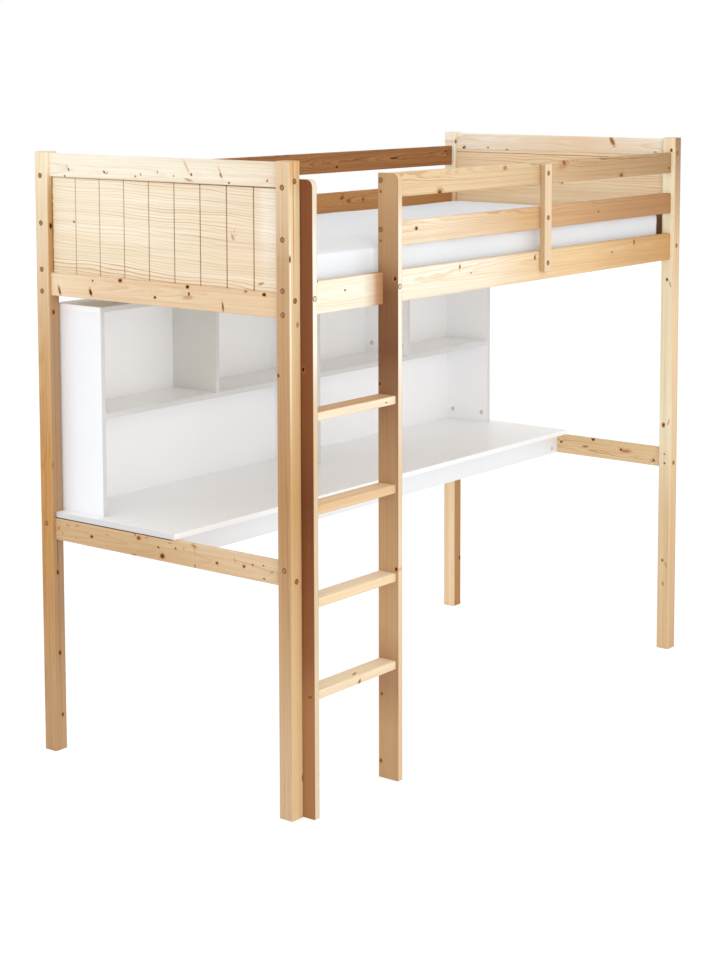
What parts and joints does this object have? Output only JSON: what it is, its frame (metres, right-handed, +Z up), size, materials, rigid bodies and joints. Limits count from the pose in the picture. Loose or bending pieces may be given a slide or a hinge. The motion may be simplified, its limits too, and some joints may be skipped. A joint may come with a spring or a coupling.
{
  "type": "cabin bed",
  "caption": "High single bed on square pine posts with a side ladder, guard rails, grooved end panels, a slatted base and mattress, over a white desk and bookcase.",
  "frame": {"origin": "on the floor, at the middle of the overall footprint, ladder and rear strap included", "axes": "+X along the bed to the foot end, with the ladder at the -X end of the front; +Y to the wall side, so the ladder and the desk's open front face -Y; +Z up"},
  "size_m": [2.088, 1.032, 1.805],
  "materials": {
    "pine": "clear satin lacquer over knotty pine",
    "slat_pine": "planed, unlacquered pine",
    "white_board": "white melamine on chipboard",
    "back_board": "white lacquered hardboard",
    "mattress_cover": "matt white cotton cover",
    "steel": "zinc plated",
    "beech": "plain beech",
    "cap_plastic": "pine-coloured moulded cap",
    "cam_white": "white moulded cap"
  },
  "bodies": {
    "root": {"post_rear_left": "pine", "post_front_left": "pine", "post_front_right": "pine", "post_rear_right": "pine", "head_top_rail": "pine", "head_lower_rail": "pine", "head_panel": "pine", "head_desk_rail": "pine", "foot_top_rail": "pine", "foot_lower_rail": "pine", "foot_panel": "pine", "foot_desk_rail": "pine", "side_rail_front": "pine", "side_rail_rear": "pine", "guard_front_upper": "pine", "guard_front_lower": "pine", "guard_rear_upper": "pine", "guard_rear_lower": "pine", "guard_strap_front": "pine", "guard_strap_rear": "pine", "ledger_front": "pine", "ledger_rear": "pine", "slat_1": "slat_pine", "slat_2": "slat_pine", "slat_3": "slat_pine", "slat_4": "slat_pine", "slat_5": "slat_pine", "slat_6": "slat_pine", "slat_7": "slat_pine", "slat_8": "slat_pine", "slat_9": "slat_pine", "slat_10": "slat_pine", "slat_11": "slat_pine", "slat_12": "slat_pine", "slat_13": "slat_pine", "ladder_stile_left": "pine", "ladder_stile_right": "pine", "ladder_rung_1": "pine", "ladder_rung_2": "pine", "ladder_rung_3": "pine", "ladder_rung_4": "pine", "desk_rear_rail": "pine", "desk_top": "white_board", "desk_apron": "white_board", "case_side_left": "white_board", "case_side_right": "white_board", "case_top": "white_board", "case_shelf": "white_board", "case_divider_left": "white_board", "case_divider_middle": "white_board", "case_divider_right": "white_board", "case_divider_low": "white_board", "case_back": "back_board", "mattress": "mattress_cover", "bolts": "steel", "nuts": "steel", "dowels": "beech", "cover_caps": "cap_plastic", "cam_locks": "cam_white"}
  },
  "joints": []
}
